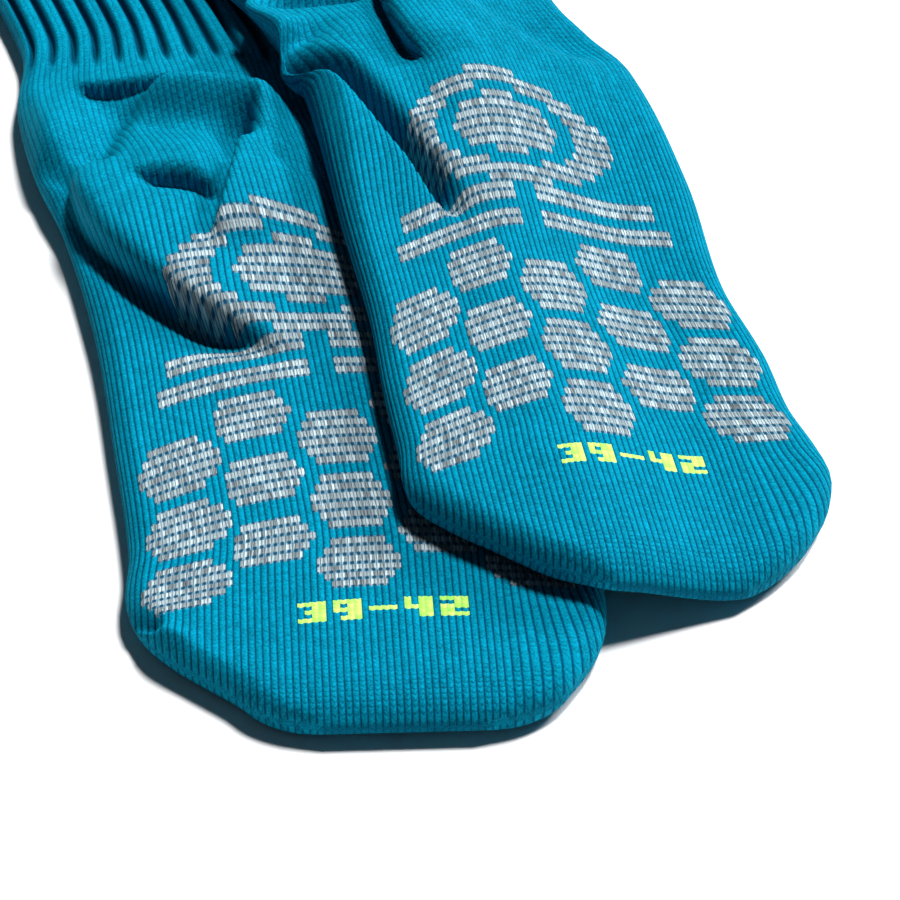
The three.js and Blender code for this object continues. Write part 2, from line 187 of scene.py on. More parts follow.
def fold_push(fold, across, along):
    """(lift, across, along) pushes of one fold. The lift is a bell across a bent line through
    three places, with its own spread on each side, faded in and out over the quarters at the
    line's ends. Its lean moves the same bell sideways, to the right of the line's way."""
    t = np.linspace(0, 1, FOLD_STEPS + 1)
    bend_a = 2 * fold["a1"] - (fold["a0"] + fold["a2"]) / 2
    bend_s = 2 * fold["s1"] - (fold["s0"] + fold["s2"]) / 2
    line_a = (1 - t) ** 2 * fold["a0"] + 2 * t * (1 - t) * bend_a + t**2 * fold["a2"]
    line_s = (1 - t) ** 2 * fold["s0"] + 2 * t * (1 - t) * bend_s + t**2 * fold["s2"]
    reach = FOLD_REACH * max(fold["left"], fold["right"])
    close = (along > line_s.min() - reach) & (along < line_s.max() + reach)
    close &= (across > line_a.min() - reach) & (across < line_a.max() + reach)
    a, s = across[close], along[close]
    least = np.full(a.shape, np.inf)
    walked, side = np.zeros(a.shape), np.zeros(a.shape)
    for k in range(FOLD_STEPS):
        step_a, step_s = line_a[k + 1] - line_a[k], line_s[k + 1] - line_s[k]
        off_a, off_s = a - line_a[k], s - line_s[k]
        u = np.clip((off_a * step_a + off_s * step_s) / (step_a**2 + step_s**2), 0, 1)
        distance = np.hypot(off_a - u * step_a, off_s - u * step_s)
        nearer = distance < least
        least = np.where(nearer, distance, least)
        walked = np.where(nearer, (k + u) / FOLD_STEPS, walked)
        side = np.where(nearer, step_a * off_s - step_s * off_a, side)
    spread = np.where(side > 0, fold["left"], fold["right"])
    ends = ease(walked * FOLD_QUARTERS) * ease((1 - walked) * FOLD_QUARTERS)
    bell = ends * np.exp(-((least / spread) ** 2))
    way_a = 2 * (1 - walked) * (bend_a - fold["a0"]) + 2 * walked * (fold["a2"] - bend_a)
    way_s = 2 * (1 - walked) * (bend_s - fold["s0"]) + 2 * walked * (fold["s2"] - bend_s)
    lean = fold["lean"] * bell / np.hypot(way_a, way_s)
    pushed = np.zeros((3,) + across.shape)
    pushed[:, close] = fold["rise"] * bell, lean * way_s, -lean * way_a
    return pushed


def push(sock, across, along):
    """The sum of a sock's folds, and of its swellings, each a round bell."""
    total = sum(fold_push(fold, across, along) for fold in sock["folds"])
    for w in sock["swells"]:
        wide, long = (across - w["across"]) / w["wide"], (along - w["along"]) / w["long"]
        total[0] += w["rise"] * np.exp(-(wide**2) - long**2)
    return total * sock["open_to"](across)


def lift(sock, across, along):
    """Only the height of the swellings and folds."""
    return push(sock, across, along)[0]


def rib_lift(share, along):
    """Round crests and narrow grooves, one of each per rib, on the leg above the heel."""
    wave = np.sin(np.pi * share * RIBS["count"]) ** 2
    crest = 1 - (1 - wave) ** 3
    leg = ease((along - RIBS["start"] + RIBS["slant"] * (share - 0.5)) / RIBS["fade"])
    shape = RIBS["depth"] * crest - RIBS["groove"] * (1 - crest) ** 2
    return shape * leg * ease((RIBS_END["end"] - along) / RIBS_END["fade"] + 0.5)


# The upper sock presses the folds flat on the right. The courses' bow has its middle at
# bow_middle, the wales lean by wale_lean in the toe, and the figures start at mark_course.
LOWER = {
    "rows": LOWER_SECTIONS,
    "swells": LOWER_SWELLS,
    "folds": LOWER_FOLDS,
    "open_to": lambda across: 1 - ease((across - PRESSED["from"]) / PRESSED["over"]),
    "floor": lambda x, y: np.zeros(x.shape),
    "bow_middle": -7,
    "wale_lean": 0.08,
    "mark_course": 22,
}

# The grid of the outer face has a column each quarter wale on the sole and each wale beneath,
# and a row each course along the foot. Columns keep their distance at the toe, where they run
# out over its edge as wales do, and rows bow towards the toe at the sides as courses do.
QUARTERS = 4
TOP = WALES_ACROSS * QUARTERS
RING = TOP + WALES_ACROSS
TOE_BAND = 10
MOST_BUNCHED = 0.8
WIDEST_BEFORE = 60
STRAIGHT_BEHIND = 8
RIGHT_SIDE = 0.55
EDGE_TRIES = 360
VEE = 0.42
VEE_FADE = 3
BOW = 0.006
BOW_FADES = {"toe": 60, "heel": 200, "over": 80}
BOW_ROUNDS = 8
NOSE_ROWS = [0, 0.12, 0.45]
ANKLE_PITCH = 1.65
ANKLE_COUNT = 32
LEG_COUNT = 44
ANKLE_ROWS = COURSES[-1] + ANKLE_PITCH * np.arange(1, ANKLE_COUNT + 1)
LEG_ROWS = np.linspace(ANKLE_ROWS[-1], SOCK_LENGTH, LEG_COUNT + 1)[1:]
OUTER_ROWS = np.concatenate([NOSE_ROWS, COURSES[1:], ANKLE_ROWS, LEG_ROWS])
OUTER_SHARE = np.concatenate(
    [np.arange(TOP + 1) / TOP, np.arange(WALES_ACROSS - 1, 0, -1) / WALES_ACROSS]
)
OVER_TOP = np.arange(RING) <= TOP


def course_of(along):
    """The number of the course at a place along the foot, and on at the last pitch up the leg."""
    beyond = np.maximum(along - COURSES[-1], 0) / FOOT_PITCH
    return np.interp(along, COURSES, np.arange(len(COURSES))) + beyond


def bow(sock, across, along):
    """How far a course drops towards the toe at a place: the square of its way from the middle."""
    fade = ease(along / BOW_FADES["toe"])
    fade *= 1 - ease((along - BOW_FADES["heel"]) / BOW_FADES["over"])
    return BOW * (across - sock["bow_middle"]) ** 2 * fade


def wale_shift(sock, along, start):
    """How far the middle line lies right of the wales' way in the toe: they go straight on from
    the place where the toe starts to narrow, and lean a little to the left."""
    turn = np.radians(column(sock["rows"], "turn", start))
    s = np.minimum(along, start)
    off_x = column(sock["rows"], "x", s) - column(sock["rows"], "x", start)
    off_y = column(sock["rows"], "y", s) - column(sock["rows"], "y", start)
    return off_x * np.cos(turn) + off_y * np.sin(turn) + sock["wale_lean"] * (start - s)


def knit_places(sock):
    """(across, along, course) for each row and column of the outer face. Behind the toe, a
    column is at its share of the section. In the toe it goes straight on, nearly, until it meets
    the outline, and the rows left over are packed into a band behind the outline."""
    rows = sock["rows"]
    ahead = np.linspace(0, WIDEST_BEFORE, 10 * WIDEST_BEFORE + 1)
    widest = ahead[np.argmax(column(rows, "half", ahead))]
    straight = widest + STRAIGHT_BEHIND

    def place_across(along):
        back = np.maximum(along, widest)
        half = column(rows, "half", back)
        kept = stadium(half, thickness(rows, back), OUTER_SHARE)
        at_right = ease((kept / half - RIGHT_SIDE) / (1 - RIGHT_SIDE))
        placed = kept - wale_shift(sock, along, straight) * (1 - at_right)
        return np.where(along < widest, placed, np.maximum(placed, -half))

    tries = np.linspace(0, widest, EDGE_TRIES + 1)[:, None]
    past = np.abs(place_across(tries)) - column(rows, "half", tries)
    last = np.where(past >= 0, np.arange(EDGE_TRIES + 1)[:, None], -1).max(axis=0)
    start = np.clip((last + 1) / EDGE_TRIES, 0, 1) * widest
    start = np.where(last < 0, 0, start)
    vee = VEE * np.abs(2 * ((OUTER_SHARE * WALES_ACROSS) % 1) - 1)
    row = OUTER_ROWS[:, None] + np.zeros(RING)
    end_fade = np.clip((SOCK_LENGTH - row) / VEE_FADE, 0, 1)
    along = row.copy()
    for _ in range(BOW_ROUNDS):
        across = place_across(along)
        along = row + vee * end_fade - bow(sock, across, along)
    band_end = start + TOE_BAND
    band_row = band_end + bow(sock, place_across(band_end), band_end) - vee
    u = np.clip(row / band_row, 0, 1)
    bunched = np.minimum(start / TOE_BAND, MOST_BUNCHED)
    packed = start + TOE_BAND * (u + bunched * (u**2 - u))
    along = np.where(row < band_row, packed, along)
    across = place_across(along)
    return across, along, course_of(along + bow(sock, across, along) - vee * end_fade)


# The yarns: teal all over, a grey melange floated over it in the grip pads, and neon in the size
# figures. The pads are a plain layout of hexagons, bars and a disc, charted stitch by stitch.
TEAL, GREY, NEON = 0, 1, 2
WALE = 1.26
PAD_COURSES = 2
PAD_ROW = 2.56
HEXAGON = {"pitch": 17.92, "channel": 2.7, "first": 11.5, "rows": 3, "reach": 39}
BARS = {"first": 66.6, "pitch": 7.68, "count": 2, "height": 5.1, "channel": 2.6}
BARS_REACH = {"first": 33, "less": 3}
DISC = {"middle": 94.7, "across": 25, "along": 16, "ring_from": 0.5, "ring_to": 0.68}
FIGURES = {
    "3": ("####", "..##", ".###", "..##", "####"),
    "9": ("####", "#.##", "####", "..##", ".###"),
    "-": ("....", "....", "####", "....", "...."),
    "4": ("#.##", "#.##", "####", "..##", "..##"),
    "2": ("####", "..##", "####", "##..", "####"),
}
SIZE_MARK = "39-42"
MARK_COURSES = 5
MARK_WALE = 27


def hexagons(across, along):
    """True in the hexagons of a honeycomb, with every second file of them set half a pitch back.
    A place is in one where its hexagonal distance from the middle is under half the width."""
    pitch = HEXAGON["pitch"]
    apart = pitch * math.sqrt(3) / 2
    file = np.round(across / apart)
    back = np.abs(file) % 2 / 2
    step = np.round((along - HEXAGON["first"]) / pitch - back)
    off_a = np.abs(across - file * apart)
    off_s = np.abs(along - HEXAGON["first"] - (step + back) * pitch)
    distance = np.maximum(off_s, off_s / 2 + off_a * math.sqrt(3) / 2)
    kept = (step >= 0) & (step + back < HEXAGON["rows"]) & (np.abs(across) < HEXAGON["reach"])
    return kept & (distance < (pitch - HEXAGON["channel"]) / 2)


def bars(across, along):
    """True in bars set square across the arch, each shorter than the last, parted down the
    middle by a channel."""
    step = np.round((along - BARS["first"]) / BARS["pitch"])
    off = np.abs(along - BARS["first"] - step * BARS["pitch"])
    kept = (step >= 0) & (step < BARS["count"]) & (off < BARS["height"] / 2)
    far = np.abs(across)
    reach = BARS_REACH["first"] - BARS_REACH["less"] * step
    return kept & (far < reach) & (far > BARS["channel"])


def disc(across, along):
    """True in an oval by the heel with a plain ring left out of it."""
    off = np.hypot(across / DISC["across"], (along - DISC["middle"]) / DISC["along"])
    return (off < 1) & ~((off > DISC["ring_from"]) & (off < DISC["ring_to"]))


def yarns(sock, wale, course):
    """The yarn of each stitch: pads in grey, two courses deep, then the figures in neon."""
    pair = np.floor(course / PAD_COURSES) * PAD_COURSES + PAD_COURSES / 2
    across = (wale + 0.5 - WALES_ACROSS / 2) * WALE
    along = (pair - sock["mark_course"] - MARK_COURSES) * PAD_ROW / PAD_COURSES
    pads = hexagons(across, along) | bars(across, along) | disc(across, along)
    yarn = np.where(pads, GREY, TEAL)
    chart = [".".join(FIGURES[sign][line] for sign in SIZE_MARK) for line in range(MARK_COURSES)]
    marked = np.array([[stitch == "#" for stitch in line] for line in chart[::-1]])
    line, place = course - sock["mark_course"], wale - MARK_WALE
    wide = marked.shape[1]
    near = (line >= 0) & (line < MARK_COURSES) & (place >= 0) & (place < wide)
    shown = marked[np.clip(line, 0, MARK_COURSES - 1), np.clip(place, 0, wide - 1)]
    return np.where(near & shown, NEON, yarn)


# The wall of a sock as one closed skin: the outer face with its wales raised, the plain inner
# face, the rim that joins them at the open end, and the two ends shut at the toe.
INNER_EVERY = 8
INNER_RING = RING // INNER_EVERY
INNER_TOP = TOP // INNER_EVERY
INNER_ROWS = np.concatenate([
    [4, 7, 10, 14, 20, 28, 40, 56, 76, 96],
    np.arange(103, 209, 7),
    np.linspace(215, SOCK_LENGTH, 30),
])
WALE_RELIEF = [-0.14, 0.03, 0.08, 0.03]
PAD_RELIEF = 0.16
HEEL_SMOOTH = {"share": 0.45, "from": 130, "over": 20}
LEG_SMOOTH = {"share": 0.3, "over": 20}
RELIEF_FADES = {"toe": 2, "welt": 6}
SEAM = 0.3
INNER_REACH = (3.5, 5)
BAKE_SOLE = 0.82
BAKE_OUTER = (0.01, 0.93)
BAKE_RIM = (0.935, 0.955)
BAKE_INNER = (0.96, 0.99)
BAKE_TOES = (0.004, 0.995)


def tube(sock, across, along, share, half, thick, over_top, inside):
    """Points of one face of the tube: the middle height, plus or minus the round edge's rise,
    and above it the swellings, folds and ribs in proportion to that rise."""
    radius = thick / 2
    inward = np.clip((half - np.abs(across)) / np.maximum(radius, 1e-6), 0, 1)
    round_share = np.sqrt(1 - (1 - inward) ** 2)
    lean_a, lean_s = 0, 0
    if inside:
        sides = [-1, 0, 1]
        near = [
            lift(sock, across + i * INNER_REACH[0], along + j * INNER_REACH[1])
            for i in sides
            for j in sides
        ]
        raised = np.maximum(np.min(near, axis=0), LEAST_HOLLOW - thick) * round_share**2
    else:
        raised, lean_a, lean_s = push(sock, across, along) * round_share * over_top
        raised = raised + rib_lift(share, along) * round_share
    x, y = in_plan(sock["rows"], across + lean_a, along + lean_s)
    full = thickness(sock["rows"], along)
    nose = column(sock["rows"], "thick", np.maximum(along, TOE_ROUNDING)) / 2
    middle = sock["floor"](x, y) + np.maximum(nose, full / 2)
    rise = radius * round_share
    if not inside:
        rise = np.maximum(rise, SEAM)
    z = np.where(over_top, middle + rise + raised, middle - rise)
    return np.stack([x - PLAN_MIDDLE[0], y - PLAN_MIDDLE[1], z], axis=-1)


def outer_face(sock):
    """The outer points, pushed along the face's own normal by the wales and the pads."""
    across, along, course = knit_places(sock)
    rows = sock["rows"]
    half, thick = column(rows, "half", along), thickness(rows, along)
    points = tube(sock, across, along, OUTER_SHARE, half, thick, OVER_TOP, False)
    next_across = np.roll(points, -1, axis=1) - np.roll(points, 1, axis=1)
    next_along = np.gradient(points, axis=0)
    normal = np.cross(next_across, next_along)
    normal /= np.maximum(np.linalg.norm(normal, axis=-1, keepdims=True), 1e-9)
    top = np.arange(TOP)
    stitch = np.floor((course[:-1, :TOP] + course[1:, :TOP]) / 2).astype(int)
    yarn = yarns(sock, top // QUARTERS + 0 * stitch, stitch)
    padded = np.pad((yarn == GREY).astype(float), ((1, 1), (1, 1)))
    round_vertex = (padded[:-1, :-1] + padded[1:, :-1] + padded[:-1, 1:] + padded[1:, 1:]) / 4
    relief = np.array(WALE_RELIEF)[np.arange(TOP + 1) % QUARTERS]
    over = along[:, : TOP + 1]
    smooth = HEEL_SMOOTH["share"] * ease((over - HEEL_SMOOTH["from"]) / HEEL_SMOOTH["over"])
    smooth += LEG_SMOOTH["share"] * ease((over - RIBS["start"]) / LEG_SMOOTH["over"])
    height = np.zeros(across.shape)
    height[:, : TOP + 1] = relief * (1 - smooth) + PAD_RELIEF * round_vertex
    height *= ease(OUTER_ROWS / RELIEF_FADES["toe"])[:, None]
    height *= ease((SOCK_LENGTH - OUTER_ROWS) / RELIEF_FADES["welt"])[:, None]
    return points + normal * height[..., None], course, yarn


def inner_face(sock):
    """The inner points, a wall's thickness inside the plain outer tube."""
    rows = sock["rows"]
    along = INNER_ROWS[:, None] + np.zeros(INNER_RING)
    share = OUTER_SHARE[::INNER_EVERY]
    leg = ease((along - WALL["change_at"]) / WALL["change_over"])
    wall = WALL["foot"] + (WALL["leg"] - WALL["foot"]) * leg
    spread = (column(rows, "half", along + 1) - column(rows, "half", along - 1)) / 2
    half = column(rows, "half", along) - wall * np.hypot(1, spread)
    thick = np.maximum(thickness(rows, along) - 2 * wall, LEAST_HOLLOW)
    across = stadium(half, thick, share)
    return tube(sock, across, along, share, half, thick, OVER_TOP[::INNER_EVERY], True)


def ring_quads(rows, ring):
    """Corners (row, column) of the quads between the rows of a closed ring."""
    r, i = (g.ravel() for g in np.meshgrid(np.arange(rows - 1), np.arange(ring), indexing="ij"))
    return np.stack([r, r, r + 1, r + 1], 1), np.stack([i, i + 1, i + 1, i], 1)


def end_triangles(top, bottom):
    """Columns of the strip that shuts a ring: each lower point fans out to its own run of upper
    points, and a triangle joins each fan to the next."""
    ratio = top // bottom
    a = np.arange(1, top)
    k = a // ratio
    under = np.where(k == 0, 0, top + bottom - k)
    fans = np.stack([a, a + 1, under], 1)
    k = np.arange(bottom - 1)
    joints = np.stack(
        [ratio * (k + 1), top + bottom - k - 1, np.where(k == 0, 0, top + bottom - k)], 1
    )
    return np.concatenate([fans, joints])


def sock_skin(name, sock):
    """One mesh of the outer and inner faces, with the maps that the knit and the bake read."""
    outer, course, yarn = outer_face(sock)
    inner = inner_face(sock)
    last_out, last_in = len(OUTER_ROWS) - 1, len(INNER_ROWS) - 1
    groups = []

    def add(grid, row, col, yarn_of, bake_v):
        groups.append((grid + 0 * col, row + 0 * col, col, yarn_of, bake_v))

    out_v = np.cumsum(np.r_[0, np.sqrt(np.diff(OUTER_ROWS))])
    out_v = BAKE_OUTER[0] + (BAKE_OUTER[1] - BAKE_OUTER[0]) * out_v / out_v[-1]
    in_v = np.linspace(*BAKE_INNER, len(INNER_ROWS))
    row, col = ring_quads(len(OUTER_ROWS), RING)
    quad_yarn = np.full((last_out, RING), TEAL)
    quad_yarn[:, :TOP] = yarn
    add(0, row, col, quad_yarn.ravel(), out_v[row])
    row, col = ring_quads(len(INNER_ROWS), INNER_RING)
    add(1, row[:, ::-1], col[:, ::-1], 0, in_v[row[:, ::-1]])
    first = INNER_EVERY * np.arange(INNER_RING)[:, None] + np.arange(INNER_EVERY)
    inward = np.arange(INNER_RING)[:, None] + (np.arange(INNER_EVERY) >= INNER_EVERY // 2)
    rim = np.stack([first, first + 1, inward], -1).reshape(-1, 3)
    inner_place = np.arange(INNER_RING)
    middle = INNER_EVERY * inner_place + INNER_EVERY // 2
    joints = np.stack([middle, inner_place + 1, inner_place], -1)
    for grid, col in ((np.array([0, 0, 1]), rim), (np.array([0, 1, 1]), joints)):
        row = np.where(grid, last_in, last_out)
        add(grid, row, col, 0, np.array(BAKE_RIM)[grid] + 0 * col)
    toe = end_triangles(TOP, WALES_ACROSS)[:, ::-1]
    add(0, 0, toe, 0, np.where(toe <= TOP, BAKE_TOES[0], 0.0))
    toe = end_triangles(INNER_TOP, INNER_RING - INNER_TOP)
    add(1, 0, toe, 0, np.where(toe <= INNER_TOP, BAKE_TOES[1], 1.0))

    faces, knit, bake, face_yarn = [], [], [], []
    for grid, row, col, yarn_of, bake_v in groups:
        out_vertex = row * RING + col % RING
        in_vertex = outer[..., 0].size + row * INNER_RING + col % INNER_RING
        vertex = np.where(grid == 0, out_vertex, in_vertex)
        faces.extend(vertex.tolist())
        out_col = np.where(grid == 0, col, col * INNER_EVERY)
        over = out_col <= TOP
        wale = np.where(over, out_col / QUARTERS, WALES_ACROSS + out_col - TOP)
        out_course = course[np.minimum(row, last_out), col % RING]
        in_course = course_of(INNER_ROWS[np.minimum(row, last_in)])
        knit.append(np.stack([wale, np.where(grid == 0, out_course, in_course)], -1).reshape(-1, 2))
        under = BAKE_SOLE + (1 - BAKE_SOLE) * (out_col - TOP) / WALES_ACROSS
        bake_u = np.where(over, BAKE_SOLE * out_col / TOP, under)
        bake.append(np.stack([bake_u, bake_v + 0 * bake_u], -1).reshape(-1, 2))
        face_yarn.append(yarn_of + np.zeros(len(vertex)))
    points = np.concatenate([outer.reshape(-1, 3), inner.reshape(-1, 3)]) * MILLIMETRE
    mesh = bpy.data.meshes.new(name)
    mesh.from_pydata(points, [], faces)
    for title, corners in (("knit", knit), ("OFBake", bake)):
        layer = mesh.uv_layers.new(name=title)
        layer.uv.foreach_set("vector", np.concatenate(corners).astype(np.float32).ravel())
    attribute = mesh.attributes.new("yarn", "FLOAT", "FACE")
    attribute.data.foreach_set("value", np.concatenate(face_yarn).astype(np.float32))
    mesh.shade_smooth()
    piece = bpy.data.objects.new(name, mesh)
    bpy.context.scene.collection.objects.link(piece)
    return piece


# The knit's finish: teal wales with painted shade darkening the grooves between them, grey melange
# floats with teal showing through under each row of them, and bright figures. All of it follows
# the map of wales and courses, and a bump gives each course its rounded row and the yarn its
# fibres.
RIDGE_TEAL = (0.0, 0.23, 0.36, 1)
# Painted shade: the colour put into the grooves between wales and courses and into the rib grooves.
GROOVE_SHADE_TEAL = (0.0, 0.05, 0.115, 1)
NEON_YARN = (0.36, 0.84, 0.11, 1)
NEON_PALE = (0.82, 0.88, 0.24, 1)
# The darkest melange grey is the yarn's dark flecks, and also the painted shade between the arms of
# a stitch.
MELANGE = [
    (0.0, (0.07, 0.065, 0.068, 1)),
    (0.3, (0.19, 0.245, 0.27, 1)),
    (0.6, (0.35, 0.45, 0.49, 1)),
    (1.0, (0.63, 0.79, 0.85, 1)),
]
NEAR_TOE = (5.0, 15.0)
IN_TOE = {"courses": (20.0, 30.0), "share": 0.4}
AT_HEEL = {"courses": (116.0, 130.0), "share": 0.75}
ON_HEEL = {"courses": (110.0, 126.0), "share": 0.5}
ON_LEG = {"courses": (144.0, 152.0), "slant": 0.43}
# The painted shade: how much less of it the heel and leg get, and where it darkens wale, course and
# rib grooves.
PLAINER = 0.65
WALE_GROOVE = (0.45, 1.0)
ROW_GROOVE = {"edge": (0.5, 1.0), "painted_shade": 0.55}
RIB_GROOVE = {"wales": 4.0, "edge": (0.35, 0.85), "painted_shade": 0.9}
CLOUD_SCALE = 90.0
FIBRE_SCALE = 2300.0
TEAL_TONES = {"cloud": 0.3, "fibre": 1.5, "stitch": 0.2, "wale": 0.12, "less": 0.11}
STREAK = {"slant": 2.6, "each_wale": 9.7, "each_row": 5.3, "scale": 1.6}
GREY_TONES = {"arm": 0.55, "streak": 1.9, "less": 0.72}
# Painted shade in the gap between the two arms of each stitch in the pads.
ARM_GROOVE = {"edge": (0.4, 1.0), "painted_shade": 0.85}
# The teal yarn shows through under each grey row, most at the wale grooves, where painted shade
# also darkens it.
TEAL_DOTS = {"edge": (0.1, 0.65), "rows": (0.42, 0.78), "share": 0.75, "least": 0.22}
# The neon's groove share is how much painted shade it takes in the grooves.
NEON_TONES = {"stitch": 0.55, "groove": 0.3}
ROW_BUMP = {"share": 0.2, "more": 0.1}
FIBRE_BUMP = 0.8
BUMP_DEPTH = 0.00016


def node(tree, kind, inputs, **settings):
    """Adds a node, sets its options, and joins or sets its inputs by name or number."""
    made = tree.nodes.new(kind)
    for option, value in settings.items():
        setattr(made, option, value)
    for key, value in inputs.items():
        if isinstance(value, bpy.types.NodeSocket):
            tree.links.new(value, made.inputs[key])
        else:
            made.inputs[key].default_value = value
    return made


def maths(tree, operation, a, b=0.0):
    """One step of arithmetic on two sockets or numbers."""
    return node(tree, "ShaderNodeMath", {0: a, 1: b}, operation=operation).outputs[0]


def between(tree, value, low, high):
    """0 below low, 1 above high, and a smooth step between."""
    limits = {"Value": value, "From Min": low, "From Max": high, "To Min": 0.0, "To Max": 1.0}
    made = node(tree, "ShaderNodeMapRange", limits, interpolation_type="SMOOTHSTEP")
    return made.outputs["Result"]


def blended(tree, share, a, b):
    """Two colours mixed by a share."""
    return node(tree, "ShaderNodeMix", {0: share, 6: a, 7: b}, data_type="RGBA").outputs[2]


def knit_material():
    """The knit's one material. The yarn attribute picks teal, grey or neon, and the map of wales
    and courses gives each of them painted shade in its grooves and its tones, and the bump its
    rounded rows."""
    material = bpy.data.materials.new("knit")
    material.use_nodes = True
    tree = material.node_tree
    tree.nodes.clear()
    place = node(tree, "ShaderNodeUVMap", {}, uv_map="knit").outputs["UV"]
    split = node(tree, "ShaderNodeSeparateXYZ", {"Vector": place})
    wale, course = split.outputs["X"], split.outputs["Y"]
    yarn = node(tree, "ShaderNodeAttribute", {}, attribute_name="yarn").outputs["Fac"]
    here = node(tree, "ShaderNodeTexCoord", {}).outputs["Object"]

    def edge(value, repeat):
        """0 in the middle of each repeat and 1 at its ends, evenly."""
        phase = maths(tree, "FRACT", maths(tree, "DIVIDE", value, repeat))
        doubled = maths(tree, "SUBTRACT", maths(tree, "MULTIPLY", phase, 2.0), 1.0)
        return maths(tree, "ABSOLUTE", doubled)

    def tone_at(x, y):
        """An even random tone for each pair of whole numbers."""
        at = node(tree, "ShaderNodeCombineXYZ", {"X": x, "Y": y}).outputs[0]
        noise = node(tree, "ShaderNodeTexWhiteNoise", {"Vector": at}, noise_dimensions="2D")
        return noise.outputs["Value"]

    groove = edge(wale, 1.0)
    course_edge = edge(course, 1.0)
    row_edge = edge(course, float(PAD_COURSES))
    near_toe = maths(tree, "SUBTRACT", 1.0, between(tree, course, *NEAR_TOE))
    in_toe = maths(tree, "SUBTRACT", 1.0, between(tree, course, *IN_TOE["courses"]))
    in_toe = maths(tree, "MULTIPLY", in_toe, IN_TOE["share"])
    at_heel = between(tree, course, *AT_HEEL["courses"])
    at_heel = maths(tree, "MULTIPLY", at_heel, AT_HEEL["share"])
    rows_show = maths(tree, "MAXIMUM", maths(tree, "MAXIMUM", near_toe, in_toe), at_heel)
    folded = maths(tree, "ABSOLUTE", maths(tree, "SUBTRACT", wale, float(WALES_ACROSS)))
    slanted = maths(tree, "SUBTRACT", course, maths(tree, "MULTIPLY", folded, ON_LEG["slant"]))
    on_leg = between(tree, slanted, *ON_LEG["courses"])
    on_heel = between(tree, course, *ON_HEEL["courses"])
    rib_groove = between(tree, edge(wale, RIB_GROOVE["wales"]), *RIB_GROOVE["edge"])
    rib_groove = maths(tree, "MULTIPLY", rib_groove, on_leg)
    wale_number = maths(tree, "FLOOR", wale)
    stitch_tone = tone_at(wale_number, maths(tree, "FLOOR", course))
    wale_tone = node(
        tree, "ShaderNodeTexWhiteNoise", {"W": wale_number}, noise_dimensions="1D"
    ).outputs["Value"]

    # Teal: painted shade darkens the grooves between the wales, and near the toe and the heel the
    # gaps between the courses too; less of it on the heel and the leg, and more in the rib grooves.
    painted_shade = between(tree, groove, *WALE_GROOVE)
    row_shade = between(tree, course_edge, *ROW_GROOVE["edge"])
    row_shade = maths(tree, "MULTIPLY", row_shade, rows_show)
    painted_shade = maths(tree, "MAXIMUM", painted_shade, maths(tree, "MULTIPLY", row_shade, ROW_GROOVE["painted_shade"]))
    plain = maths(tree, "MAXIMUM", maths(tree, "MULTIPLY", on_heel, ON_HEEL["share"]), on_leg)
    plain = maths(tree, "SUBTRACT", 1.0, maths(tree, "MULTIPLY", plain, PLAINER))
    painted_shade = maths(tree, "MULTIPLY", painted_shade, plain)
    painted_shade = maths(tree, "MAXIMUM", painted_shade, maths(tree, "MULTIPLY", rib_groove, RIB_GROOVE["painted_shade"]))
    cloud_set = {"Vector": here, "Scale": CLOUD_SCALE, "Detail": 3.0}
    cloud_tone = node(tree, "ShaderNodeTexNoise", cloud_set).outputs["Fac"]
    fibre_set = {"Vector": here, "Scale": FIBRE_SCALE, "Detail": 2.0}
    fibre_tone = node(tree, "ShaderNodeTexNoise", fibre_set).outputs["Fac"]
    teal = blended(tree, painted_shade, RIDGE_TEAL, GROOVE_SHADE_TEAL)
    shade = maths(tree, "MULTIPLY", cloud_tone, TEAL_TONES["cloud"])
    for tone, kind in ((fibre_tone, "fibre"), (stitch_tone, "stitch"), (wale_tone, "wale")):
        shade = maths(tree, "ADD", shade, maths(tree, "MULTIPLY", tone, TEAL_TONES[kind]))
    shade = maths(tree, "SUBTRACT", shade, TEAL_TONES["less"])
    teal_yarn = node(
        tree, "ShaderNodeVectorMath", {0: teal, "Scale": shade}, operation="SCALE"
    ).outputs[0]

    # Grey: each arm of a stitch has its own grey, and slanting streaks run along the arms. Painted
    # shade darkens the gap between the two arms of each stitch.
    arm = maths(tree, "FLOOR", maths(tree, "MULTIPLY", wale, 2.0))
    float_row = maths(tree, "DIVIDE", course, float(PAD_COURSES))
    float_number = maths(tree, "FLOOR", float_row)
    float_part = maths(tree, "FRACT", float_row)
    arm_tone = tone_at(arm, float_number)
    slant = maths(tree, "SUBTRACT", maths(tree, "MULTIPLY", groove, STREAK["slant"]), float_part)
    at_wale = maths(tree, "MULTIPLY", wale_number, STREAK["each_wale"])
    at_row = maths(tree, "MULTIPLY", float_number, STREAK["each_row"])
    streak_place = node(
        tree, "ShaderNodeCombineXYZ", {"X": maths(tree, "ADD", slant, at_wale), "Y": at_row}
    ).outputs[0]
    streak_set = {"Vector": streak_place, "Scale": STREAK["scale"], "Detail": 3.0}
    streak = node(tree, "ShaderNodeTexNoise", streak_set).outputs["Fac"]
    tone = maths(tree, "MULTIPLY", arm_tone, GREY_TONES["arm"])
    tone = maths(tree, "ADD", tone, maths(tree, "MULTIPLY", streak, GREY_TONES["streak"]))
    tone = maths(tree, "SUBTRACT", tone, GREY_TONES["less"])
    ramp = node(tree, "ShaderNodeValToRGB", {"Fac": tone})
    stops = ramp.color_ramp.elements
    for at, _ in MELANGE[2:]:
        stops.new(at)
    for stop, (at, colour) in zip(stops, MELANGE):
        stop.position = at
        stop.color = colour
    dots = between(tree, groove, *TEAL_DOTS["edge"])
    shows = maths(tree, "MULTIPLY", dots, TEAL_DOTS["share"])
    shows = maths(tree, "ADD", shows, TEAL_DOTS["least"])
